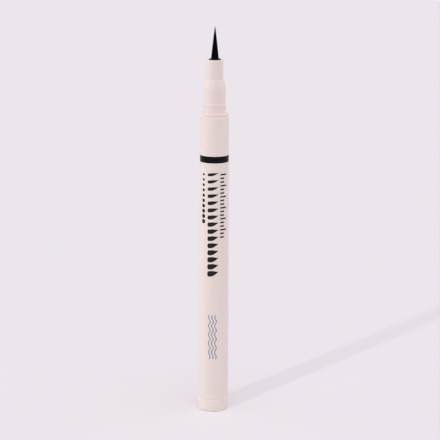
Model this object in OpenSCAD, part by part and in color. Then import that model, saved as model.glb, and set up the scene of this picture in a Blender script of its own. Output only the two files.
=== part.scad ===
// Liquid eyeliner pen of the free-ink kind, standing on its tail with its brush up.
// The origin is the centre of the foot's face, and +Z runs up the pen to the brush's point.
// Everything is round about Z, so most pieces are one outline of [radius, height] points, turned.

/* [Barrel] */
// Outer diameter at the tail end
barrel_tail_d = 10.2; // [9.6:0.05:12]
// Outer diameter at the front end
barrel_front_d = 9.55; // [9.2:0.05:11]
// Length of the tube
barrel_l = 96; // [80:0.1:120]
// Wall at the front end
barrel_wall = 1.1; // [0.9:0.05:1.3]
// Rounding of the front edge
barrel_edge = 0.35; // [0.1:0.05:0.5]

/* [Band ring] */
// Width along the barrel
band_w = 2.2; // [1:0.1:4]
// Thickness, all of it let into the barrel
band_t = 0.35; // [0.2:0.05:0.5]
// Distance from the barrel's front edge
band_drop = 13.1; // [8:0.1:30]

/* [Tail plug] */
// Height of the part that shows below the barrel
tail_h = 5.6; // [4:0.1:9]
// Rounding of the bottom edge
tail_edge = 0.45; // [0.2:0.05:0.8]
// Distance of the fine groove below the barrel's end
groove_drop = 1.4; // [0.8:0.1:2.5]
// Width of the fine groove
groove_w = 0.5; // [0.2:0.05:0.6]
// Depth of the fine groove
groove_t = 0.2; // [0.05:0.05:0.3]
// Length of the spigot inside the barrel
spigot_l = 10; // [7:0.5:14]
// Wall of the hollow spigot
spigot_wall = 1.6; // [1.3:0.1:2]
// Depth of the spigot's hollow
spigot_hollow = 11; // [6:0.5:12]
// Diameter of the recess under the foot
recess_d = 5; // [3:0.1:6]
// Depth of the recess under the foot
recess_t = 0.4; // [0.2:0.05:0.8]

/* [Front section] */
// Step in from the barrel's front diameter to the flange
flange_step = 0.2; // [0.05:0.05:0.3]
// Height of the flange
flange_h = 1; // [0.8:0.1:2]
// Chamfer of the flange's edges
flange_edge = 0.2; // [0.1:0.05:0.4]
// Step in from the barrel's front diameter to the cap seat, which is a cap's wall
cap_step = 1.175; // [1:0.025:1.3]
// Length of the cap seat
seat_l = 5.4; // [4:0.1:8]
// Wall at the cap seat
seat_wall = 0.65; // [0.5:0.05:0.8]
// Height of the snap bead above the cap seat's surface
bead_t = 0.2; // [0.1:0.05:0.3]
// Width of the snap bead
bead_w = 0.5; // [0.3:0.05:1]
// Height of the thicker land between flange and bead
land_h = 2.6; // [1.5:0.1:4]
// Thickness that the land adds to the cap seat
land_t = 0.1; // [0.05:0.05:0.15]
// Height of the cone above the cap seat
shoulder_h = 2.6; // [1.5:0.1:4]
// Step in from the cap seat to the cone's top
shoulder_step = 0.45; // [0.3:0.05:0.6]
// Step in from the cone's top to the neck
neck_step = 0.325; // [0.2:0.025:0.5]
// Height of the neck
neck_h = 6.6; // [5:0.1:9]
// Wall of the neck
neck_wall = 0.75; // [0.6:0.05:0.9]
// Rounding of the neck's mouth, and reach of the rounding where seat and cone meet
mouth_edge = 0.25; // [0.1:0.05:0.4]
// Depth below the neck of the ledge that stops the brush holder
stop_drop = 1.2; // [0.8:0.1:2]
// Length of the skirt inside the barrel
skirt_l = 19.5; // [14:0.5:24]
// Distance of the skirt's snap rib below the flange
rib_drop = 5; // [3:0.5:8]
// Height of the snap rib
rib_t = 0.12; // [0.05:0.01:0.2]
// Width of the snap rib
rib_w = 0.8; // [0.5:0.1:1.5]

/* [Brush holder] */
// Wall of the sleeve round the brush
holder_wall = 0.64; // [0.5:0.02:0.75]
// Lip of the holder's rear flange
holder_lip = 0.45; // [0.3:0.05:0.55]
// Height of the rear flange
holder_flange_h = 1.5; // [1:0.1:2.5]
// How far the rim stands out of the neck
rim_out = 0.25; // [0.1:0.05:0.6]
// Chamfer of the rim
rim_edge = 0.12; // [0.05:0.01:0.2]

/* [Brush tuft] */
// Length of the free strands
tuft_l = 11.1; // [8:0.1:14]
// Depth of the strands' feet below the holder's rim
tuft_set = 0.25; // [0.1:0.05:0.6]
// Lip of the fused root
root_lip = 0.4; // [0.2:0.05:0.5]
// Height of the fused root
root_h = 0.8; // [0.5:0.1:1.2]
// Number of strands
strands = 320; // [300:10:400]

/* [Fixing tube] */
// Length of the tube behind the brush holder
fix_l = 4.1; // [3:0.1:6]
// Wall of the tube
fix_wall = 0.6; // [0.4:0.05:0.8]
// Height of the web that guides the feed rod
fix_web_h = 1.2; // [0.8:0.1:2]

/* [Feed rod and collector] */
// Diameter of the feed rod
rod_d = 2; // [1.6:0.05:2.2]
// Length of rod that dips into the tank
rod_dip = 3; // [1:0.5:8]
// Wall of the collector's core
core_wall = 0.75; // [0.5:0.05:0.85]
// Thickness of a collector fin
fin_t = 0.38; // [0.25:0.02:0.5]
// Spacing of the collector's fins
fin_pitch = 0.85; // [0.7:0.05:1.4]
// Height of the solid discs at the collector's ends
disc_h = 1; // [0.6:0.1:2]
// Width of the collector's ink slit
slit_w = 0.3; // [0.2:0.05:0.5]
// Depth of the ink slit into the core
slit_t = 0.25; // [0.1:0.05:0.4]
// Width of the collector's air slot
air_w = 0.9; // [0.5:0.1:1.5]
// Length of the collector's spigot in the middle plug
coll_spigot_l = 3.5; // [2:0.1:4]

/* [Middle plug] */
// Height of the flange on the tank's rim
mid_flange_h = 1.2; // [0.8:0.1:2]
// Length of the plug inside the tank
plug_l = 5.5; // [5:0.1:8]
// Distance of the seal's groove above the plug's lower end
plug_groove_up = 0.9; // [0.6:0.1:1.2]

/* [Ink tank] */
// Wall of the tank
tank_wall = 0.7; // [0.5:0.05:0.9]
// Thickness of the tank's floor
tank_floor = 1.2; // [0.8:0.1:2]
// Chamfer round the tank's floor
tank_edge = 0.4; // [0.2:0.05:0.6]
// Diameter of the mixing ball
ball_d = 3.5; // [2.5:0.1:4]

/* [Seal rings] */
// Depth of the grooves that hold the seal rings
seal_t = 0.6; // [0.4:0.05:0.7]
// Side play of a seal ring in its groove
seal_play = 0.15; // [0.1:0.05:0.3]
// Distance of the tail seal's groove below the spigot's end
tail_groove_drop = 2.5; // [1.5:0.1:4]

/* [Clearances] */
// Gap round a piece that is pressed or snapped into another
fit = 0.03; // [0.01:0.01:0.05]
// Gap between the feed rod and what guides it
rod_gap = 0.05; // [0.02:0.01:0.1]
// Gap between the collector's fins and the front section
fin_gap = 0.08; // [0.04:0.01:0.15]
// Gap between the ink tank and the barrel
tank_gap = 0.15; // [0.05:0.01:0.25]
// Gap between a seal ring and the walls that squeeze it
seal_gap = 0.02; // [0.01:0.01:0.04]
// Gap between the mixing ball and what it stops against
ball_gap = 0.05; // [0.02:0.01:0.1]

/* [Hidden] */
$fn = 96;

blush = "#E8D9D3";
ink_black = "#191716";
milky = "#E9E6DC";
pale_grey = "#C9CACC";
felt_grey = "#4A4748";
seal_black = "#2B2B2D";
steel = "#B9BCC0";

// Overrun of every cut past the face that it opens
over = 0.1;
// Chamfer of the barrel's end where it meets the tail plug, which draws the seam
seam_edge = 0.18;
// Share of the snap bead's width that each of its two slopes takes
bead_slope_share = 0.25;

// Heights, from the foot up
front_z = tail_h + barrel_l;
flange_z = front_z + flange_h;
bead_z = flange_z + land_h;
seat_z = bead_z + bead_w;
shoulder_z = seat_z + seat_l;
neck_z = shoulder_z + shoulder_h;
mouth_z = neck_z + neck_h;
rim_z = mouth_z + rim_out;
tuft_z = rim_z - tuft_set;
stop_z = neck_z - stop_drop;
root_z = stop_z - holder_flange_h;
fix_z = root_z - fix_l;
skirt_z = front_z - skirt_l;
tank_top_z = skirt_z - mid_flange_h;
plug_z = tank_top_z - plug_l;
rod_z = plug_z - rod_dip;
tank_z = tail_h + spigot_l;
floor_z = tank_z + tank_floor;
ball_z = floor_z + ball_gap + ball_d / 2;
band_top_z = front_z - band_drop;
band_z = band_top_z - band_w;
rib_z = front_z - rib_drop;

// Radii, from the barrel in
bore_r = barrel_front_d / 2 - barrel_wall;
flange_r = barrel_front_d / 2 - flange_step;
seat_r = barrel_front_d / 2 - cap_step;
shoulder_r = seat_r - shoulder_step;
neck_r = shoulder_r - neck_step;
neck_bore_r = neck_r - neck_wall;
chamber_r = neck_bore_r + holder_lip;
coll_bore_r = seat_r - seat_wall;
skirt_r = bore_r - fit;
holder_r = neck_bore_r - fit;
tuft_r = holder_r - holder_wall - fit;
root_r = tuft_r + root_lip;
rod_r = rod_d / 2;
rod_bore_r = rod_r + rod_gap;
core_r = rod_bore_r + core_wall;
fin_r = coll_bore_r - fin_gap;
tank_r = bore_r - tank_gap;
tank_bore_r = tank_r - tank_wall;
plug_r = tank_bore_r - fit;
spigot_r = bore_r - fit;

// Seal rings, each in its groove between two walls
tank_seal_r = (tank_bore_r - plug_r + seal_t) / 2 - seal_gap;
tail_seal_r = (bore_r - spigot_r + seal_t) / 2 - seal_gap;
tank_seal_z = plug_z + plug_groove_up + seal_play + tank_seal_r;
tail_seal_z = tank_z - tail_groove_drop;

// Travel of the mixing ball from the tank's floor to the end of the feed rod
ball_travel = rod_z - ball_gap - ball_d / 2 - ball_z;
echo(ball_travel = ball_travel, length = tuft_z + tuft_l, seat_z = seat_z, seat_r = seat_r);

// Outer radius of the tapered barrel at height z
function barrel_r(z) =
    (barrel_tail_d + (barrel_front_d - barrel_tail_d) * (z - tail_h) / barrel_l) / 2;

// Points of a rounded corner of radius r about [cx, cz], from angle a to angle b
function corner(cx, cz, r, a, b, steps = 6) =
    [for (i = [0:steps]) [cx + r * cos(a + (b - a) * i / steps), cz + r * sin(a + (b - a) * i / steps)]];

// Solid of revolution of an outline of [radius, height] points
module turned(points) {
    rotate_extrude() polygon(points);
}

// Tapered tube, moulded, with a shallow groove for the band ring and one inside for the snap rib
module barrel() {
    groove_z = band_z - fit;
    groove_top_z = band_top_z + fit;
    groove_r = barrel_r(band_z) - band_t - fit;
    color(blush)
    turned(concat(
        [[bore_r, tail_h], [barrel_r(tail_h) - seam_edge, tail_h], [barrel_r(tail_h), tail_h + seam_edge]],
        [[barrel_r(groove_z), groove_z], [groove_r, groove_z]],
        [[groove_r, groove_top_z], [barrel_r(groove_top_z), groove_top_z]],
        corner(barrel_front_d / 2 - barrel_edge, front_z - barrel_edge, barrel_edge, 0, 90),
        [[bore_r, front_z], [bore_r, rib_z + rib_w + fit], [bore_r + rib_t, rib_z + rib_w]],
        [[bore_r + rib_t, rib_z], [bore_r, rib_z - fit]]
    ));
}

// Black ring that lies flush in the barrel's groove
module band_ring() {
    inner_r = barrel_r(band_z) - band_t;
    color(ink_black)
    turned([
        [inner_r, band_z], [barrel_r(band_z), band_z],
        [barrel_r(band_top_z), band_top_z], [inner_r, band_top_z],
    ]);
}

// Nose moulding: skirt in the barrel, flange, cap seat with its snap bead, cone and neck
module front_section() {
    rib_r = skirt_r + rib_t;
    land_r = seat_r + land_t;
    bead_r = seat_r + bead_t;
    bead_slope = bead_w * bead_slope_share;
    cone_a = atan(shoulder_step / shoulder_h);
    blend_r = mouth_edge / tan(cone_a / 2);
    color(blush)
    turned(concat(
        [[coll_bore_r, skirt_z], [skirt_r - rib_t, skirt_z], [skirt_r, skirt_z + rib_w]],
        [[skirt_r, rib_z], [rib_r, rib_z + rib_t], [rib_r, rib_z + rib_w - rib_t], [skirt_r, rib_z + rib_w]],
        [[skirt_r, front_z], [flange_r - flange_edge, front_z], [flange_r, front_z + flange_edge]],
        [[flange_r, flange_z - flange_edge], [flange_r - flange_edge, flange_z], [land_r, flange_z]],
        [[land_r, bead_z], [bead_r, bead_z + bead_slope], [bead_r, seat_z - bead_slope], [seat_r, seat_z]],
        corner(seat_r - blend_r, shoulder_z - mouth_edge, blend_r, 0, cone_a),
        [[shoulder_r, neck_z], [neck_r, neck_z]],
        corner(neck_r - mouth_edge, mouth_z - mouth_edge, mouth_edge, 0, 90),
        [[neck_bore_r, mouth_z], [neck_bore_r, stop_z], [chamber_r, stop_z]],
        [[chamber_r, fix_z], [coll_bore_r, fix_z]]
    ));
}

// Black sleeve that grips the brush and shows as a thin rim at the neck's mouth
module brush_holder() {
    hole_r = tuft_r + fit;
    color(ink_black)
    turned([
        [root_r + fit, root_z], [chamber_r - fit, root_z], [chamber_r - fit, stop_z], [holder_r, stop_z],
        [holder_r, rim_z - rim_edge], [holder_r - rim_edge, rim_z], [hole_r, rim_z],
        [hole_r, root_z + root_h + fit], [root_r + fit, root_z + root_h + fit],
    ]);
}

// Turn from one strand to the next, which spreads them evenly over a disc
golden_turn = 180 * (3 - sqrt(5));
// Draw-in of the strands, and the height at which it ends, as shares of the bundle's size
draw_share = 0.4;
draw_height_share = 0.55;
// Thickness of a strand as a share of the spacing of the strands
strand_share = 0.38;
strand_r = tuft_r * sqrt(PI / strands) * strand_share;
// Sides of a strand, and the number of its points, which are two rings and a tip
strand_sides = 3;
strand_size = 2 * strand_sides + 1;
// Sides of the root and of the bound bundle
bundle_sides = 48;

// One ring of a strand: its corners about [x, y] at height z
function strand_ring(x, y, z, r, turn) = [
    for (k = [0:strand_sides - 1])
    let (a = turn + 360 * k / strand_sides)
    [x + r * cos(a), y + r * sin(a), z]
];

// Points of strand i: its foot on the bundle's end, the place where it is drawn in, and its point
function strand_points(i) =
    let (
        out = sqrt((i + 0.5) / strands),
        x = (tuft_r - strand_r) * out * cos(i * golden_turn),
        y = (tuft_r - strand_r) * out * sin(i * golden_turn),
        turn = i * golden_turn
    )
    concat(
        strand_ring(x, y, 0, strand_r, turn),
        strand_ring(draw_share * x, draw_share * y, tuft_l * draw_height_share, draw_share * strand_r, turn),
        [[draw_share * x, draw_share * y, tuft_l * (1 - draw_share * out)]]
    );

// Faces of one strand whose points start at number n: its foot, its sides and its tapered end
function strand_faces(n) =
    let (m = strand_sides)
    concat(
        [[for (k = [0:m - 1]) n + k]],
        [for (k = [0:m - 1]) [n + k, n + m + (k + 1) % m, n + (k + 1) % m]],
        [for (k = [0:m - 1]) [n + k, n + m + k, n + m + (k + 1) % m]],
        [for (k = [0:m - 1]) [n + m + k, n + 2 * m, n + m + (k + 1) % m]]
    );

// Brush of synthetic bristles: a fused root with a lip, the bound bundle, and the drawn-out strands.
// resize() holds the whole tuft to its exact length and diameter.
module brush_tuft() {
    depth = tuft_z - root_z;
    color(ink_black)
    translate([0, 0, root_z])
    resize([2 * root_r, 2 * root_r, depth + tuft_l]) {
        cylinder(r = root_r, h = root_h, $fn = bundle_sides);
        cylinder(r = tuft_r, h = depth, $fn = bundle_sides);
        translate([0, 0, depth])
        polyhedron(
            points = [for (i = [0:strands - 1]) each strand_points(i)],
            faces = [for (i = [0:strands - 1]) each strand_faces(strand_size * i)]
        );
    }
}

// Tube that locks the brush and its holder, with a web that guides the feed rod
module fixing_tube() {
    outer_r = chamber_r - fit;
    color(milky)
    turned([
        [outer_r - fix_wall, fix_z], [outer_r, fix_z], [outer_r, root_z], [rod_bore_r, root_z],
        [rod_bore_r, root_z - fix_web_h], [outer_r - fix_wall, root_z - fix_web_h],
    ]);
}

// Fibre rod that carries the ink from the tank to the brush's root
module feed_rod() {
    color(felt_grey)
    translate([0, 0, rod_z])
    cylinder(r = rod_r, h = root_z - rod_z);
}

// Comb of thin fins that takes up and gives back ink as the tank's air swells and shrinks
module collector() {
    comb_z = skirt_z + disc_h;
    comb_l = fix_z - skirt_z - 2 * disc_h;
    fins = floor((comb_l + fin_t) / fin_pitch) - 1;
    first_z = comb_z + (comb_l - (fins - 1) * fin_pitch - fin_t) / 2;
    color(pale_grey)
    difference() {
        turned(concat(
            [[rod_bore_r, skirt_z - coll_spigot_l], [core_r, skirt_z - coll_spigot_l]],
            [[core_r, skirt_z], [fin_r, skirt_z], [fin_r, comb_z], [core_r, comb_z]],
            [
                for (i = [0:fins - 1])
                let (z = first_z + i * fin_pitch)
                each [[core_r, z], [fin_r, z], [fin_r, z + fin_t], [core_r, z + fin_t]]
            ],
            [[core_r, fix_z - disc_h], [fin_r, fix_z - disc_h], [fin_r, fix_z], [rod_bore_r, fix_z]]
        ));
        translate([core_r - slit_t, -slit_w / 2, skirt_z - over])
        cube([fin_r - core_r + slit_t + over, slit_w, fix_z - skirt_z + 2 * over]);
        translate([-fin_r - over, -air_w / 2, comb_z - over])
        cube([fin_r - core_r + over, air_w, fix_z - comb_z + 2 * over]);
    }
}

// Plug that closes the tank round the feed rod, with its flange between the tank and the skirt
module middle_plug() {
    socket_r = core_r + fit;
    socket_z = skirt_z - coll_spigot_l - fit;
    groove_z = tank_seal_z - tank_seal_r - seal_play;
    groove_top_z = tank_seal_z + tank_seal_r + seal_play;
    color(milky)
    turned([
        [rod_bore_r, plug_z], [plug_r, plug_z], [plug_r, groove_z], [plug_r - seal_t, groove_z],
        [plug_r - seal_t, groove_top_z], [plug_r, groove_top_z], [plug_r, tank_top_z],
        [tank_r, tank_top_z], [tank_r, skirt_z], [socket_r, skirt_z],
        [socket_r, socket_z], [rod_bore_r, socket_z],
    ]);
}

// Seal ring of radius r that bears on the wall outside it
module seal_ring(wall_r, z, r) {
    color(seal_black)
    rotate_extrude()
    translate([wall_r - seal_gap - r, z])
    circle(r = r);
}

// Rubber ring on the middle plug, which seals the tank
module tank_seal_ring() {
    seal_ring(tank_bore_r, tank_seal_z, tank_seal_r);
}

// Rubber ring on the tail plug's spigot, which grips and seals the barrel
module tail_seal_ring() {
    seal_ring(bore_r, tail_seal_z, tail_seal_r);
}

// Inner tube that holds the ink, closed at its lower end
module ink_tank() {
    color(milky)
    turned([
        [0, tank_z], [tank_r - tank_edge, tank_z], [tank_r, tank_z + tank_edge], [tank_r, tank_top_z],
        [tank_bore_r, tank_top_z], [tank_bore_r, floor_z], [0, floor_z],
    ]);
}

// Steel ball that stirs the ink when the pen is shaken
module mixing_ball() {
    color(steel)
    translate([0, 0, ball_z])
    sphere(r = ball_d / 2);
}

// Plug that closes the barrel, with the pen's foot below and a hollow spigot above
module tail_plug() {
    foot_r = barrel_tail_d / 2;
    line_z = tail_h - groove_drop;
    hollow_r = spigot_r - spigot_wall;
    hollow_z = tank_z - spigot_hollow;
    seal_half_w = tail_seal_r + seal_play;
    color(blush)
    turned(concat(
        [[0, recess_t], [recess_d / 2, recess_t], [recess_d / 2, 0]],
        corner(foot_r - tail_edge, tail_edge, tail_edge, -90, 0),
        [[foot_r, line_z - groove_w / 2], [foot_r - groove_t, line_z], [foot_r, line_z + groove_w / 2]],
        [[foot_r, tail_h - seam_edge], [foot_r - seam_edge, tail_h], [spigot_r, tail_h]],
        [[spigot_r, tail_seal_z - seal_half_w], [spigot_r - seal_t, tail_seal_z - seal_half_w]],
        [[spigot_r - seal_t, tail_seal_z + seal_half_w], [spigot_r, tail_seal_z + seal_half_w]],
        [[spigot_r, tank_z], [hollow_r, tank_z], [hollow_r, hollow_z], [0, hollow_z]]
    ));
}

barrel();
band_ring();
front_section();
brush_holder();
brush_tuft();
fixing_tube();
feed_rod();
collector();
middle_plug();
tank_seal_ring();
ink_tank();
mixing_ball();
tail_plug();
tail_seal_ring();
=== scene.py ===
import math
import random

import bmesh
import bpy
from mathutils import Matrix, Vector


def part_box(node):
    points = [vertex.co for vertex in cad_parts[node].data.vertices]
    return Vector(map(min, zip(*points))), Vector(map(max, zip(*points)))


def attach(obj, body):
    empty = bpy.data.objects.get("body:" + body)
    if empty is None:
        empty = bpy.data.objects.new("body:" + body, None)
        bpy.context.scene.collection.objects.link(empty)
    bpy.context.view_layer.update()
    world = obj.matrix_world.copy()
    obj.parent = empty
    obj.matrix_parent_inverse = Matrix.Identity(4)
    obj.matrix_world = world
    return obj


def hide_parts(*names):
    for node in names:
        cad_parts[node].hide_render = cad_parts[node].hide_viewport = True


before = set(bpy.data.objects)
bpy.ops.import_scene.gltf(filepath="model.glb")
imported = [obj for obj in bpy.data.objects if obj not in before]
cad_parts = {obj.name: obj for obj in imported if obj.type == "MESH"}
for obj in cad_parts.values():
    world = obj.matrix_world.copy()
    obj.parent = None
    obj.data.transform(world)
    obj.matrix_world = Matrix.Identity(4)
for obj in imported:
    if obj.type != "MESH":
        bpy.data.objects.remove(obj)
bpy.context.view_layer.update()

# Camera
# A long lens stands in front of the pen and a little above it, and looks down at it. The slight roll
# makes the pen lean to the right by a third of a degree, as in the photograph.
MM = 0.001
LENS_MM = 147.0
SENSOR_MM = 36
CAMERA_PLACE_MM = (2.0, -590, 198)
CAMERA_PITCH = 12.606
CAMERA_ROLL = 0.35

camera = bpy.data.objects.new("camera", bpy.data.cameras.new("camera"))
camera.data.lens = LENS_MM
camera.data.sensor_width = SENSOR_MM
camera.matrix_world = (
    Matrix.Translation(Vector(CAMERA_PLACE_MM) * MM)
    @ Matrix.Rotation(math.radians(90 - CAMERA_PITCH), 4, "X")
    @ Matrix.Rotation(math.radians(CAMERA_ROLL), 4, "Z")
)
bpy.context.scene.collection.objects.link(camera)
bpy.context.scene.camera = camera
bpy.context.scene.view_settings.view_transform = "Standard"


# Studio floor and light
# A wide sheet of matt lilac paper carries the pen in a pale room. Far lamps stand for broad panels
# overhead, in front and on each side, and for a small key light that draws the long weak shadow.
FLOOR_HALF_MM = 6000
ROOM_COLOUR = "#EBE5EC"
ROOM_LIGHT = 0.5
PAPER_COLOUR = "#E7E3E7"
PAPER_SHADE = "#E5E1E6"
PAPER_FIBRE_MM = 1.5
LAMPS = (
    # name, degrees to the left of the camera's view, height in degrees, width in degrees, strength, shadow
    ("key_lamp", 36.9, 30, 2, 0.45, True),
    ("top_panel", -25, 79, 45, 1.02, True),
    ("front_panel", 15, 52, 40, 0.56, False),
    ("left_panel", 98, 12, 60, 0.84, False),
    ("right_panel", -102, 12, 50, 0.54, False),
)


def linear(colour):
    """Linear RGBA of a colour written as #RRGGBB in sRGB."""
    parts = [int(colour[i : i + 2], 16) / 255 for i in (1, 3, 5)]
    return [p / 12.92 if p <= 0.04045 else ((p + 0.055) / 1.055) ** 2.4 for p in parts] + [1]


def add(tree, kind, inputs, stops=(), **settings):
    """Adds a node. Each input gets a value, or another node's output to link. stops fill a colour ramp."""
    made = tree.nodes.new(kind)
    for name, value in settings.items():
        setattr(made, name, value)
    for socket, value in inputs.items():
        if isinstance(value, bpy.types.NodeSocket):
            tree.links.new(value, made.inputs[socket])
        else:
            made.inputs[socket].default_value = value
    for element, (place, colour) in zip(made.color_ramp.elements if stops else (), stops):
        element.position = place
        element.color = linear(colour)
    return made


def material(name):
    """A new material with an empty node tree."""
    made = bpy.data.materials.new(name)
    made.use_nodes = True
    made.node_tree.nodes.clear()
    return made, made.node_tree


world = bpy.data.worlds.new("pale_room")
bpy.context.scene.world = world
world.use_nodes = True
tree = world.node_tree
tree.nodes.clear()
# The room looks as bright as the paper, also in reflections, but gives only part of that as light
rays = add(tree, "ShaderNodeLightPath", {})
mirrored = add(
    tree,
    "ShaderNodeMath",
    {0: rays.outputs["Is Glossy Ray"], 1: rays.outputs["Is Transmission Ray"]},
    operation="MAXIMUM",
)
seen = add(
    tree,
    "ShaderNodeMath",
    {0: rays.outputs["Is Camera Ray"], 1: mirrored.outputs["Value"]},
    operation="MAXIMUM",
)
glow = add(
    tree,
    "ShaderNodeMapRange",
    {"Value": seen.outputs["Value"], "To Min": ROOM_LIGHT, "To Max": 1.0},
)
room = add(
    tree,
    "ShaderNodeBackground",
    {"Color": linear(ROOM_COLOUR), "Strength": glow.outputs["Result"]},
)
add(tree, "ShaderNodeOutputWorld", {"Surface": room.outputs["Background"]})

for name, to_left, height, width, strength, shadow in LAMPS:
    lamp = bpy.data.lights.new(name, "SUN")
    lamp.energy = strength
    lamp.angle = math.radians(width)
    lamp.use_shadow = shadow
    lamp_object = bpy.data.objects.new(name, lamp)
    turn = Matrix.Rotation(math.radians(-to_left), 3, "Z")
    source = turn @ Vector((0, -math.cos(math.radians(height)), math.sin(math.radians(height))))
    lamp_object.rotation_euler = source.to_track_quat("Z", "Y").to_euler()
    bpy.context.scene.collection.objects.link(lamp_object)

# Matt paper: no gloss to speak of, and a faint cloud of fibres in its colour
paper, tree = material("matt_lilac_paper")
place = add(tree, "ShaderNodeTexCoord", {})
fibres = add(
    tree,
    "ShaderNodeTexNoise",
    {"Vector": place.outputs["Object"], "Scale": 1 / (PAPER_FIBRE_MM * MM), "Detail": 3.0},
)
shade = add(
    tree,
    "ShaderNodeValToRGB",
    {"Fac": fibres.outputs["Fac"]},
    stops=((0.3, PAPER_SHADE), (0.7, PAPER_COLOUR)),
)
shader = add(
    tree,
    "ShaderNodeBsdfPrincipled",
    {"Base Color": shade.outputs["Color"], "Roughness": 0.95, "Specular IOR Level": 0.1},
)
add(tree, "ShaderNodeOutputMaterial", {"Surface": shader.outputs["BSDF"]})

bm = bmesh.new()
bmesh.ops.create_grid(bm, x_segments=1, y_segments=1, size=FLOOR_HALF_MM * MM)
floor_mesh = bpy.data.meshes.new("floor")
bm.to_mesh(floor_mesh)
bm.free()
floor_mesh.materials.append(paper)
floor = bpy.data.objects.new("floor", floor_mesh)
bpy.context.scene.collection.objects.link(floor)


# Barrel
# The long tapered tube is one injection moulding in blush polypropylene. It has a shallow groove
# outside for the band, and one inside that the nose's snap rib clicks into.
BARREL_WALL = 1.1
BARREL_EDGE = 0.35
SEAM_EDGE = 0.18
GROOVE_T = 0.35
SNAP_RIB_T = 0.12
SNAP_RIB_W = 0.8
SNAP_RIB_DROP = 5.0
FLANGE_STEP = 0.2
FIT = 0.03
EDGE = 0.04
MERGE = 0.0004
SIDES = 256
ROUNDING_STEPS = 6
SHARP_ANGLE = 33


def span(node):
    """Outer radius, lowest height and highest height of a CAD node, in mm."""
    low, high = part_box(node)
    return high.x / MM, low.z / MM, high.z / MM


def turned(outline):
    """A closed bmesh turned about the pen's axis from (radius, height, rounding) corners in mm."""
    made = bmesh.new()
    corners = [made.verts.new((r * MM, 0, z * MM)) for r, z, _ in outline]
    ends_on_axis = outline[0][0] == 0
    for a, b in zip(corners, corners[1:] if ends_on_axis else corners[1:] + corners[:1]):
        made.edges.new((a, b))
    for rounding in sorted({corner[2] for corner in outline if corner[2]}):
        rounded = [v for v, corner in zip(corners, outline) if corner[2] == rounding]
        bmesh.ops.bevel(
            made, geom=rounded, offset=rounding * MM, offset_type="OFFSET", segments=ROUNDING_STEPS,
            profile=0.5, affect="VERTICES", material=-1,
        )
    bmesh.ops.spin(
        made, geom=made.verts[:] + made.edges[:], cent=(0, 0, 0), axis=(0, 0, 1), dvec=(0, 0, 0),
        angle=math.tau, steps=SIDES, use_merge=True,
    )
    bmesh.ops.remove_doubles(made, verts=made.verts[:], dist=MERGE * MM)
    bmesh.ops.recalc_face_normals(made, faces=made.faces[:])
    return made


def piece(name, made, finish, stands_for=()):
    """Makes a finished bmesh an object of the pen, smooth but for its sharp edges."""
    mesh = bpy.data.meshes.new(name)
    made.to_mesh(mesh)
    made.free()
    mesh.shade_smooth()
    mesh.set_sharp_from_angle(angle=math.radians(SHARP_ANGLE))
    mesh.materials.append(finish)
    new = bpy.data.objects.new(name, mesh)
    bpy.context.scene.collection.objects.link(new)
    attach(new, "pen")
    if stands_for:
        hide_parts(*stands_for)
    return new


def keep_walls_even(new):
    """Weights the normals by face size, so that long walls shade evenly right up to their rounded edges."""
    mesh = new.data
    faces = [(Vector(face.normal), face.area) for face in mesh.polygons]
    around = [[] for _ in mesh.vertices]
    for face in mesh.polygons:
        for v in face.vertices:
            around[v].append(faces[face.index])
    smooth = math.cos(math.radians(SHARP_ANGLE))
    corners = []
    for face in mesh.polygons:
        own = faces[face.index][0]
        for v in face.vertices:
            near = [normal * area for normal, area in around[v] if normal.dot(own) > smooth]
            corners.append(sum(near, Vector()).normalized())
    mesh.normals_split_custom_set(corners)


# Injection-moulded polypropylene: satin from the mould's fine grain, a little soft under light, and
# with a faint flow of the melt along the pen. The real grain is near 0.03 mm; it is drawn at 0.3 mm,
# the finest that shows.
BLUSH_LIGHT = "#EBE0D8"
BLUSH_DEEP = "#E8DCD4"
MELT_FLOW_MM = 5.0
MELT_STRETCH = 0.12
GRAIN_MM = 0.3
GRAIN_DEPTH_MM = 0.01
LIGHT_DEPTH_MM = 0.3


def satin_polypropylene(name, deep, light):
    """Moulded satin polypropylene, with its colour flowing between a deep and a light tint."""
    made, tree = material(name)
    place = add(tree, "ShaderNodeTexCoord", {})
    along = add(
        tree,
        "ShaderNodeMapping",
        {"Vector": place.outputs["Object"], "Scale": (1, 1, MELT_STRETCH)},
    )
    flow = add(
        tree,
        "ShaderNodeTexNoise",
        {"Vector": along.outputs["Vector"], "Scale": 1 / (MELT_FLOW_MM * MM), "Detail": 2.0},
    )
    tint = add(tree, "ShaderNodeValToRGB", {"Fac": flow.outputs["Fac"]}, stops=((0.3, deep), (0.7, light)))
    grain = add(
        tree,
        "ShaderNodeTexNoise",
        {"Vector": place.outputs["Object"], "Scale": 1 / (GRAIN_MM * MM), "Detail": 2.0},
    )
    satin = add(tree, "ShaderNodeMapRange", {"Value": grain.outputs["Fac"], "To Min": 0.36, "To Max": 0.46})
    relief = add(
        tree,
        "ShaderNodeBump",
        {"Height": grain.outputs["Fac"], "Strength": 0.15, "Distance": GRAIN_DEPTH_MM * MM},
    )
    shader = add(
        tree,
        "ShaderNodeBsdfPrincipled",
        {
            "Base Color": tint.outputs["Color"],
            "Roughness": satin.outputs["Result"],
            "IOR": 1.49,
            "Subsurface Weight": 0.15,
            "Subsurface Radius": (1.0, 0.6, 0.5),
            "Subsurface Scale": LIGHT_DEPTH_MM * MM,
            "Normal": relief.outputs["Normal"],
        },
    )
    add(tree, "ShaderNodeOutputMaterial", {"Surface": shader.outputs["BSDF"]})
    return made


blush = satin_polypropylene("satin_moulded_polypropylene_blush", BLUSH_DEEP, BLUSH_LIGHT)

tail_r, barrel_low, barrel_high = span("barrel")
band_low, band_high = span("band_ring")[1:]
flange_r, skirt_low, mouth_z = span("front_section")
front_r = flange_r + FLANGE_STEP
bore_r = front_r - BARREL_WALL
rib_low = barrel_high - SNAP_RIB_DROP


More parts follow.
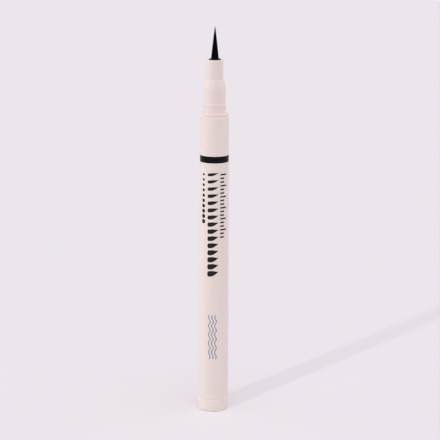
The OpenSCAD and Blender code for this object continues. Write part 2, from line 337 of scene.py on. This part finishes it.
def barrel_radius(height):
    """Outer radius of the barrel at a height, in mm."""
    return tail_r + (front_r - tail_r) * (height - barrel_low) / (barrel_high - barrel_low)


groove_low = band_low - FIT
groove_high = band_high + FIT
groove_r = barrel_radius(band_low) - GROOVE_T - FIT
barrel = piece(
    "barrel_tube",
    turned((
        (bore_r, barrel_low, EDGE),
        (barrel_radius(barrel_low), barrel_low, SEAM_EDGE),
        (barrel_radius(groove_low), groove_low, EDGE),
        (groove_r, groove_low, 0),
        (groove_r, groove_high, 0),
        (barrel_radius(groove_high), groove_high, EDGE),
        (front_r, barrel_high, BARREL_EDGE),
        (bore_r, barrel_high, EDGE),
        (bore_r, rib_low + SNAP_RIB_W + FIT, 0),
        (bore_r + SNAP_RIB_T, rib_low + SNAP_RIB_W, 0),
        (bore_r + SNAP_RIB_T, rib_low, 0),
        (bore_r, rib_low - FIT, 0),
    )),
    blush,
    ["barrel"],
)
keep_walls_even(barrel)


# Band ring
# A narrow ring of glossy black polystyrene, snapped into the barrel's groove so that it lies flush.
BAND_T = 0.35

# Polished moulded polystyrene: near black, with fine rings from being wiped and turned in its tool
BAND_LIGHT = "#0A0909"
BAND_DEEP = "#060505"
POLISH_RINGS_MM = 0.25
POLISH_STRETCH = 0.05
gloss_black, tree = material("glossy_moulded_polystyrene_black")
place = add(tree, "ShaderNodeTexCoord", {})
round_it = add(
    tree,
    "ShaderNodeMapping",
    {"Vector": place.outputs["Object"], "Scale": (POLISH_STRETCH, POLISH_STRETCH, 1)},
)
rings = add(
    tree,
    "ShaderNodeTexNoise",
    {"Vector": round_it.outputs["Vector"], "Scale": 1 / (POLISH_RINGS_MM * MM), "Detail": 3.0},
)
polish = add(tree, "ShaderNodeMapRange", {"Value": rings.outputs["Fac"], "To Min": 0.16, "To Max": 0.3})
tint = add(
    tree,
    "ShaderNodeValToRGB",
    {"Fac": rings.outputs["Fac"]},
    stops=((0.3, BAND_DEEP), (0.7, BAND_LIGHT)),
)
shader = add(
    tree,
    "ShaderNodeBsdfPrincipled",
    {
        "Base Color": tint.outputs["Color"],
        "Roughness": polish.outputs["Result"],
        "IOR": 1.5,
        "Specular IOR Level": 0.1,
    },
)
add(tree, "ShaderNodeOutputMaterial", {"Surface": shader.outputs["BSDF"]})

band_inner_r = barrel_radius(band_low) - BAND_T
band = piece(
    "band_hoop",
    turned((
        (band_inner_r, band_low, 0),
        (barrel_radius(band_low), band_low, EDGE),
        (barrel_radius(band_high), band_high, EDGE),
        (band_inner_r, band_high, 0),
    )),
    gloss_black,
    ["band_ring"],
)
keep_walls_even(band)


# Tail plug
# The closing plug is moulded in the same blush polypropylene. It has a rounded foot with a shallow
# recess under it, one fine groove round it, and a hollow spigot that is pressed into the barrel.
FOOT_EDGE = 0.45
FOOT_RECESS_R = 2.5
FOOT_RECESS_T = 0.4
TOP_EDGE = 0.26
LINE_DROP = 1.4
LINE_W = 0.38
LINE_T = 0.13
SPIGOT_WALL = 1.6
SPIGOT_HOLLOW = 11
SEAL_DROP = 2.5
SEAL_HALF_W = 0.445
SEAL_T = 0.6

foot_r, foot_z, spigot_z = span("tail_plug")
spigot_r = bore_r - FIT
line_z = barrel_low - LINE_DROP
seal_z = spigot_z - SEAL_DROP
tail = piece(
    "tail_cap",
    turned((
        (0, FOOT_RECESS_T, 0),
        (FOOT_RECESS_R, FOOT_RECESS_T, EDGE),
        (FOOT_RECESS_R, foot_z, EDGE),
        (foot_r, foot_z, FOOT_EDGE),
        (foot_r, line_z - LINE_W / 2, EDGE),
        (foot_r - LINE_T, line_z, EDGE),
        (foot_r, line_z + LINE_W / 2, EDGE),
        (foot_r, barrel_low, TOP_EDGE),
        (spigot_r, barrel_low, 0),
        (spigot_r, seal_z - SEAL_HALF_W, EDGE),
        (spigot_r - SEAL_T, seal_z - SEAL_HALF_W, 0),
        (spigot_r - SEAL_T, seal_z + SEAL_HALF_W, 0),
        (spigot_r, seal_z + SEAL_HALF_W, EDGE),
        (spigot_r, spigot_z, EDGE),
        (spigot_r - SPIGOT_WALL, spigot_z, EDGE),
        (spigot_r - SPIGOT_WALL, spigot_z - SPIGOT_HOLLOW, EDGE),
        (0, spigot_z - SPIGOT_HOLLOW, 0),
    )),
    blush,
    ["tail_plug"],
)
keep_walls_even(tail)


# Front section
# The nose is one moulding in blush polypropylene: a skirt with a snap rib in the barrel, a flange, the
# seat that a cap slides over with its thin bead, a short cone, and the neck that holds the brush. Its
# colour is a darker copy of the blush: painted shade for the dark brush holder and ink behind its thin
# wall.
SHADED_THIN_LIGHT = "#EBDDD6"
SHADED_THIN_DEEP = "#E8DAD2"
FLANGE_H = 1.0
FLANGE_EDGE = 0.2
FLANGE_TOP_EDGE = 0.12
SEAT_STEP = 1.175
SEAT_WALL = 0.65
SEAT_L = 5.4
LAND_H = 2.6
LAND_T = 0.1
BEAD_W = 0.5
BEAD_T = 0.2
BEAD_SLOPE = 0.125
SHOULDER_STEP = 0.45
SHOULDER_H = 2.6
NECK_STEP = 0.325
NECK_WALL = 0.75
NOSE_EDGE = 0.25
LEDGE_DROP = 1.2
LEDGE_LIP = 0.45

flange_z = barrel_high + FLANGE_H
land_z = flange_z + LAND_H
seat_r = front_r - SEAT_STEP
seat_z = land_z + BEAD_W
cone_z = seat_z + SEAT_L
cone_r = seat_r - SHOULDER_STEP
neck_z = cone_z + SHOULDER_H
neck_r = cone_r - NECK_STEP
neck_bore_r = neck_r - NECK_WALL
chamber_r = neck_bore_r + LEDGE_LIP
ledge_z = neck_z - LEDGE_DROP
chamber_z = span("fixing_tube")[1]
comb_bore_r = seat_r - SEAT_WALL
skirt_r = bore_r - FIT
nose = piece(
    "nose_section",
    turned((
        (comb_bore_r, skirt_low, EDGE),
        (skirt_r, skirt_low, SEAM_EDGE),
        (skirt_r, rib_low, 0),
        (skirt_r + SNAP_RIB_T, rib_low + SNAP_RIB_T, 0),
        (skirt_r + SNAP_RIB_T, rib_low + SNAP_RIB_W - SNAP_RIB_T, 0),
        (skirt_r, rib_low + SNAP_RIB_W, 0),
        (skirt_r, barrel_high, 0),
        (flange_r, barrel_high, FLANGE_EDGE),
        (flange_r, flange_z, FLANGE_TOP_EDGE),
        (seat_r + LAND_T, flange_z, EDGE),
        (seat_r + LAND_T, land_z, EDGE),
        (seat_r + BEAD_T, land_z + BEAD_SLOPE, EDGE),
        (seat_r + BEAD_T, seat_z - BEAD_SLOPE, EDGE),
        (seat_r, seat_z, EDGE),
        (seat_r, cone_z, NOSE_EDGE),
        (cone_r, neck_z, EDGE),
        (neck_r, neck_z, EDGE),
        (neck_r, mouth_z, NOSE_EDGE),
        (neck_bore_r, mouth_z, EDGE),
        (neck_bore_r, ledge_z, 0),
        (chamber_r, ledge_z, 0),
        (chamber_r, chamber_z, 0),
        (comb_bore_r, chamber_z, 0),
    )),
    # A darker copy of the blush: painted shade for the brush holder and ink behind the thin wall
    satin_polypropylene("satin_moulded_polypropylene_blush_thin_painted_shade", SHADED_THIN_DEEP, SHADED_THIN_LIGHT),
    ["front_section"],
)
keep_walls_even(nose)


# Brush holder
# A black polypropylene sleeve grips the brush. It is pushed up into the neck from behind, and only its
# thin chamfered rim stands out of the neck's mouth.
RIM_EDGE = 0.12
TUFT_R = 1.375
ROOT_LIP = 0.4
ROOT_H = 0.8

# Moulded polypropylene in black, damp with ink near the brush: satin, with faint stains of dried ink
SLEEVE_LIGHT = "#0D0C0C"
SLEEVE_DEEP = "#050506"
STAIN_MM = 0.6
inky_black, tree = material("satin_moulded_polypropylene_black")
place = add(tree, "ShaderNodeTexCoord", {})
stains = add(
    tree,
    "ShaderNodeTexNoise",
    {"Vector": place.outputs["Object"], "Scale": 1 / (STAIN_MM * MM), "Detail": 4.0},
)
damp = add(tree, "ShaderNodeMapRange", {"Value": stains.outputs["Fac"], "To Min": 0.2, "To Max": 0.55})
tint = add(
    tree,
    "ShaderNodeValToRGB",
    {"Fac": stains.outputs["Fac"]},
    stops=((0.4, SLEEVE_DEEP), (0.65, SLEEVE_LIGHT)),
)
shader = add(
    tree,
    "ShaderNodeBsdfPrincipled",
    {"Base Color": tint.outputs["Color"], "Roughness": damp.outputs["Result"], "Specular IOR Level": 0.1},
)
add(tree, "ShaderNodeOutputMaterial", {"Surface": shader.outputs["BSDF"]})

rim_z = span("brush_holder")[2]
root_low = span("brush_tuft")[1]
holder_r = neck_bore_r - FIT
root_r = TUFT_R + ROOT_LIP
holder = piece(
    "brush_sleeve",
    turned((
        (root_r + FIT, root_low, 0),
        (chamber_r - FIT, root_low, EDGE),
        (chamber_r - FIT, ledge_z, EDGE),
        (holder_r, ledge_z, 0),
        (holder_r, rim_z, RIM_EDGE),
        (TUFT_R + FIT, rim_z, EDGE),
        (TUFT_R + FIT, root_low + ROOT_H + FIT, 0),
        (root_r + FIT, root_low + ROOT_H + FIT, 0),
    )),
    inky_black,
    ["brush_holder"],
)
keep_walls_even(holder)


# Brush
# Several hundred tapered polyester bristles are bound, fused at the root and drawn to one fine point.
# Wet with ink they cling together in locks, so the tuft is a cone with fine ridges along it.
TUFT_L = 11.1
HAIRS = 640
HAIR_R = 0.05
HAIR_SIDES = 4
HAIR_LEVELS = (0.2, 0.45, 0.65, 0.8, 0.9, 0.96)
HAIR_TIP_SHARE = 0.03
HAIR_POINT_POWER = 12
HAIR_THIN_SHARE = 0.6
FREE_R = 1.33
BELLY_POWER = 1.1
TIP_SHARE = 0.03
SHORTEST_SHARE = 0.92
LOCKS = 13
LOCK_DEPTH = 0.02
LOCK_RISE = 6
SWAY_MM = 0.03
CORE_SHARE = 0.93
GOLDEN_TURN = math.pi * (3 - math.sqrt(5))
SHUFFLE_SEED = 11

tuft_top = span("brush_tuft")[2]
tuft_low = tuft_top - TUFT_L
shuffle = random.Random(SHUFFLE_SEED)

hair = bmesh.new()
bmesh.ops.create_cone(hair, cap_ends=True, segments=HAIR_SIDES, radius1=1, radius2=HAIR_TIP_SHARE, depth=1)
bmesh.ops.translate(hair, vec=(0, 0, 0.5), verts=hair.verts[:])
for level in HAIR_LEVELS:
    bmesh.ops.bisect_plane(
        hair, geom=hair.verts[:] + hair.edges[:] + hair.faces[:], plane_co=(0, 0, level), plane_no=(0, 0, 1)
    )
for v in hair.verts:
    cone = 1 - (1 - HAIR_TIP_SHARE) * v.co.z
    full = max(HAIR_TIP_SHARE, 1 - v.co.z**HAIR_POINT_POWER)
    v.co.x *= full / cone
    v.co.y *= full / cone
hair_mesh = bpy.data.meshes.new("hair")
hair.to_mesh(hair_mesh)
hair.free()

core = turned((
    (0, root_low, 0),
    (root_r, root_low, EDGE),
    (root_r, root_low + ROOT_H, EDGE),
    (TUFT_R - HAIR_R, root_low + ROOT_H, EDGE),
    (TUFT_R - HAIR_R, tuft_low, 0),
    (TUFT_R * CORE_SHARE, tuft_low + HAIR_R, 0),
    (0, tuft_low + TUFT_L * CORE_SHARE, 0),
))
core_mesh = bpy.data.meshes.new("core")
core.to_mesh(core_mesh)
core.free()

tuft = bmesh.new()
for i in range(HAIRS):
    out = math.sqrt((i + 0.5) / HAIRS)
    bearing = i * GOLDEN_TURN
    length = TUFT_L * (1 - out * (1 - SHORTEST_SHARE) * shuffle.random())
    sway = SWAY_MM * shuffle.uniform(-1, 1)
    first = len(tuft.verts)
    tuft.from_mesh(hair_mesh)
    tuft.verts.ensure_lookup_table()
    for v in tuft.verts[first:]:
        height = v.co.z * length
        taper = 1 - (1 - TIP_SHARE) * (height / TUFT_L) ** BELLY_POWER
        lock = 1 - LOCK_DEPTH * (1 - math.cos(LOCKS * bearing)) / 2 * out * min(1, LOCK_RISE * v.co.z)
        reach = out * (FREE_R * lock - HAIR_R) * taper
        drift = sway * math.sin(math.pi * v.co.z) * taper
        thick = HAIR_R * (HAIR_THIN_SHARE + (1 - HAIR_THIN_SHARE) * taper)
        x, y = v.co.x * thick, v.co.y * thick
        v.co.x = ((reach + x) * math.cos(bearing) - (y + drift) * math.sin(bearing)) * MM
        v.co.y = ((reach + x) * math.sin(bearing) + (y + drift) * math.cos(bearing)) * MM
        v.co.z = (tuft_low + height) * MM
tuft.from_mesh(core_mesh)

# Polyester bristles soaked with black ink: nearly no colour of their own, and a dull wet sheen that
# runs along them. A bristle is 0.1 mm thick; the streaks of ink on it are drawn at 0.12 mm.
BRISTLE_LIGHT = "#08090B"
BRISTLE_DEEP = "#020203"
STREAK_MM = 0.12
STREAK_STRETCH = 0.08
bristle, tree = material("ink_wet_polyester_bristle")
place = add(tree, "ShaderNodeTexCoord", {})
along = add(
    tree,
    "ShaderNodeMapping",
    {"Vector": place.outputs["Object"], "Scale": (1, 1, STREAK_STRETCH)},
)
streaks = add(
    tree,
    "ShaderNodeTexNoise",
    {"Vector": along.outputs["Vector"], "Scale": 1 / (STREAK_MM * MM), "Detail": 2.0},
)
tint = add(
    tree,
    "ShaderNodeValToRGB",
    {"Fac": streaks.outputs["Fac"]},
    stops=((0.35, BRISTLE_DEEP), (0.7, BRISTLE_LIGHT)),
)
sheen = add(tree, "ShaderNodeMapRange", {"Value": streaks.outputs["Fac"], "To Min": 0.3, "To Max": 0.5})
shader = add(
    tree,
    "ShaderNodeBsdfPrincipled",
    {"Base Color": tint.outputs["Color"], "Roughness": sheen.outputs["Result"], "Specular IOR Level": 0.03},
)
add(tree, "ShaderNodeOutputMaterial", {"Surface": shader.outputs["BSDF"]})
piece("brush_bristles", tuft, bristle, ["brush_tuft"])


# Print
# Ink films that are screen-printed on the barrel: a scale of pen strokes from fine to broad, a row of
# dots, a row of ticks, and small waves in steel blue. Each is a thin closed film that hugs the barrel.
FILM_T = 0.015
FILM_SUNK = 0.01
STROKES = 15
STROKES_TOP = 82.4
STROKES_PITCH = 2.42
STROKE_L = 3.8
STROKE_FINE = 1.0
STROKE_BROAD = 1.9
STROKE_LIFT = 0.7
STROKE_START_SHARE = 0.12
STROKE_START_LEAST = 0.02
STROKE_FLICK_SHARE = 0.45
STROKE_FLICK_POWER = 1.2
STROKE_FLICK_LEAST = 0.05
STROKE_STEPS = 40
STROKES_ACROSS = -0.35
DOTS = 10
DOTS_ACROSS = -3.9
DOTS_L = 16
DOT_FINE_R = 0.42
DOT_BROAD_R = 0.75
DOT_SIDES = 32
DOT_BANDS = 11
TICKS = 18
TICKS_ACROSS = 2.15
TICKS_PITCH = 1.25
TICK_T = 0.52
TICK_L = 1.5
TICK_STEPS = 12
LONG_TICK_L = 2.4
LONG_TICK_EVERY = 3
WAVES = 3
WAVES_LOW = 18.8
WAVES_L = 15.4
WAVE_PITCH = 1.05
WAVE_T = 0.3
WAVE_SWING = 0.3
WAVE_PERIOD = 3.1
WAVE_STEPS = 120


def printed(name, made, ink):
    """Thickens flat shapes, drawn with x across and y up in mm, and wraps them round the barrel's front."""
    made.normal_update()
    bmesh.ops.solidify(made, geom=made.faces[:], thickness=FILM_T + FILM_SUNK)
    for v in made.verts:
        angle = v.co.x / barrel_radius(v.co.y)
        r = barrel_radius(v.co.y) + FILM_T + v.co.z
        v.co = Vector((r * math.sin(angle), -r * math.cos(angle), v.co.y)) * MM
    return piece(name, made, ink)


def strip(made, length, width, steps, across, height):
    """Adds a flat strip along x, centred on a place, in steps that the wrapping can bend."""
    drawn = bmesh.ops.create_grid(made, x_segments=steps, y_segments=2, size=1)["verts"]
    bmesh.ops.scale(made, vec=(length / 2, width / 2, 1), verts=drawn)
    bmesh.ops.translate(made, vec=(across, height, 0), verts=drawn)
    return drawn


# Screen-print ink: a thin matt film with an even edge, and a trace of the screen's mesh
MESH_MM = 0.25
INKS = (
    # name, deep colour, light colour
    ("black", "#0C0B0C", "#161416"),
    ("steel_blue", "#5C7CA3", "#6685AA"),
)
inks = {}
for name, deep, light in INKS:
    inks[name], tree = material("screen_print_ink_" + name)
    place = add(tree, "ShaderNodeTexCoord", {})
    screen = add(
        tree,
        "ShaderNodeTexNoise",
        {"Vector": place.outputs["Object"], "Scale": 1 / (MESH_MM * MM), "Detail": 1.0},
    )
    cover = add(
        tree,
        "ShaderNodeValToRGB",
        {"Fac": screen.outputs["Fac"]},
        stops=((0.35, deep), (0.65, light)),
    )
    shader = add(
        tree,
        "ShaderNodeBsdfPrincipled",
        {"Base Color": cover.outputs["Color"], "Roughness": 0.5, "Specular IOR Level": 0.25},
    )
    add(tree, "ShaderNodeOutputMaterial", {"Surface": shader.outputs["BSDF"]})

strokes = bmesh.new()
for i in range(STROKES):
    height = STROKES_TOP - i * STROKES_PITCH
    broad = STROKE_FINE + (STROKE_BROAD - STROKE_FINE) * i / (STROKES - 1)
    for v in strip(strokes, STROKE_L, broad, STROKE_STEPS, STROKES_ACROSS, height):
        share = (v.co.x - STROKES_ACROSS) / STROKE_L + 0.5
        start = min(1, share / STROKE_START_SHARE)
        flick = max(0, (share - STROKE_FLICK_SHARE) / (1 - STROKE_FLICK_SHARE))
        rounded_start = math.sqrt(max(STROKE_START_LEAST, 1 - (1 - start) ** 2))
        drawn_out = max(STROKE_FLICK_LEAST, 1 - flick**STROKE_FLICK_POWER)
        v.co.y = height + (v.co.y - height) * rounded_start * drawn_out + STROKE_LIFT * share**2
printed("print_strokes", strokes, inks["black"])

marks = bmesh.new()
for i in range(DOTS):
    r = DOT_FINE_R + (DOT_BROAD_R - DOT_FINE_R) * i / (DOTS - 1)
    height = STROKES_TOP - i * DOTS_L / (DOTS - 1)
    dot = bmesh.ops.create_circle(marks, cap_ends=True, segments=DOT_SIDES, radius=r)["verts"]
    bmesh.ops.translate(marks, vec=(DOTS_ACROSS, height, 0), verts=dot)
# The dots are cut into narrow upright bands, so that they bend round the barrel and don't sink into it
for i in range(1, DOT_BANDS):
    across = DOTS_ACROSS + DOT_BROAD_R * (2 * i / DOT_BANDS - 1)
    cut = marks.verts[:] + marks.edges[:] + marks.faces[:]
    bmesh.ops.bisect_plane(marks, geom=cut, plane_co=(across, 0, 0), plane_no=(1, 0, 0))
for i in range(TICKS):
    length = TICK_L if i % LONG_TICK_EVERY else LONG_TICK_L
    strip(marks, length, TICK_T, TICK_STEPS, TICKS_ACROSS + length / 2, STROKES_TOP - i * TICKS_PITCH)
printed("print_marks", marks, inks["black"])

waves = bmesh.new()
for i in range(WAVES):
    across = STROKES_ACROSS + (i - (WAVES - 1) / 2) * WAVE_PITCH
    for v in strip(waves, WAVES_L, WAVE_T, WAVE_STEPS, 0, 0):
        along_it, over = v.co.x + WAVES_L / 2, v.co.y
        v.co.x = across - over + WAVE_SWING * math.sin(math.tau * along_it / WAVE_PERIOD)
        v.co.y = WAVES_LOW + along_it
printed("print_waves", waves, inks["steel_blue"])


# Pieces inside the pen
# The ink system lies out of sight: tank, ball, plug, seals, collector, rod and fixing tube. These are
# the construction's own pieces, and only get the finish of the real ones.
INSIDE = (
    # material, deep colour, light colour, pattern in mm, least and most roughness, metallic, nodes
    (
        "natural_moulded_polypropylene", "#E2DFD4", "#EDEAE1", 3.0, 0.3, 0.42, 0,
        ("ink_tank", "middle_plug", "fixing_tube"),
    ),
    ("grey_moulded_abs", "#BFC0C2", "#CFD0D2", 0.5, 0.35, 0.5, 0, ("collector",)),
    ("bonded_polyester_fibre", "#3A3738", "#575354", 0.15, 0.75, 0.95, 0, ("feed_rod",)),
    (
        "moulded_nitrile_rubber", "#232325", "#313134", 0.4, 0.55, 0.7, 0,
        ("tank_seal_ring", "tail_seal_ring"),
    ),
    ("ground_stainless_steel", "#B2B5BA", "#C3C6CA", 0.2, 0.12, 0.24, 1, ("mixing_ball",)),
)
for name, deep, light, pattern, low, high, metal, nodes in INSIDE:
    made, tree = material(name)
    place = add(tree, "ShaderNodeTexCoord", {})
    spread = add(
        tree,
        "ShaderNodeTexNoise",
        {"Vector": place.outputs["Object"], "Scale": 1 / (pattern * MM), "Detail": 3.0},
    )
    tint = add(
        tree,
        "ShaderNodeValToRGB",
        {"Fac": spread.outputs["Fac"]},
        stops=((0.35, deep), (0.65, light)),
    )
    rough = add(tree, "ShaderNodeMapRange", {"Value": spread.outputs["Fac"], "To Min": low, "To Max": high})
    shader = add(
        tree,
        "ShaderNodeBsdfPrincipled",
        {"Base Color": tint.outputs["Color"], "Roughness": rough.outputs["Result"], "Metallic": metal},
    )
    add(tree, "ShaderNodeOutputMaterial", {"Surface": shader.outputs["BSDF"]})
    for node in nodes:
        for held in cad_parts[node].material_slots:
            held.material = made
